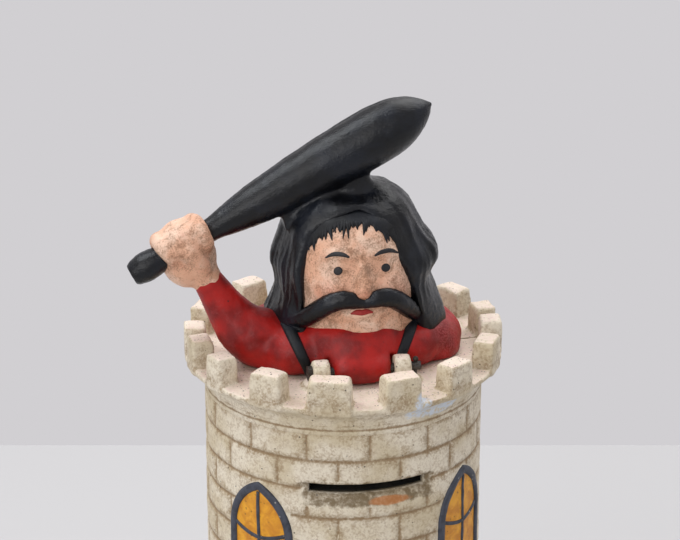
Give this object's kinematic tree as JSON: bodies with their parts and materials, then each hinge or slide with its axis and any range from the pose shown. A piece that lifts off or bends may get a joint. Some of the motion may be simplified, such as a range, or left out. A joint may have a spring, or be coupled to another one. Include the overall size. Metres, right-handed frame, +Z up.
{
  "type": "mechanical bank",
  "caption": "Castle-tower coin bank with a club-wielding figure that leans forward when a coin goes in the slot, and a swinging coin door underneath.",
  "frame": {"origin": "centre of the underside of the round foot, on the surface it stands on", "axes": "+Z up along the tower, -Y towards the coin slot and the figure's face, +X to the right seen from the front"},
  "size_m": [0.1075, 0.098, 0.2327],
  "materials": {
    "tower_paint": "satin enamel, brown wash in the joints",
    "figure_paint": "gloss enamel in several colours",
    "black_iron": "black japanned, worn",
    "shelf_steel": "plain sheet, slightly tarnished",
    "lever_iron": "bare, oiled",
    "screw_steel": "turned, tarnished",
    "pin_steel": "drawn wire, bright"
  },
  "bodies": {
    "tower": {"tower_front": "tower_paint", "tower_back": "tower_paint", "tie_screws": "screw_steel", "tie_washers": "screw_steel", "coin_shelf": "shelf_steel", "coin_shelf_screws": "screw_steel", "base_plate": "black_iron", "base_plate_screws": "screw_steel", "door_pivot_screw": "screw_steel", "door_pivot_washer": "screw_steel", "door_pivot_nut": "screw_steel", "door_lock_screw": "screw_steel", "pivot_pin": "pin_steel", "pivot_split_pin": "pin_steel"},
    "giant": {"figure_front": "figure_paint", "figure_back": "figure_paint", "figure_screws": "screw_steel", "coin_lever": "lever_iron", "lever_rivets": "screw_steel"},
    "trap": {"coin_door": "black_iron"}
  },
  "joints": [
    {"name": "giant_lean", "type": "hinge", "parent": "tower", "child": "giant", "pos_m": [0, -0.0255, 0.165], "axis": [1, 0, 0], "range_deg": [0, 22]},
    {"name": "coin_door_swing", "type": "hinge", "parent": "tower", "child": "trap", "pos_m": [0.021, 0, 0.0035], "axis": [0, 0, -1], "range_deg": [0, 90]}
  ]
}
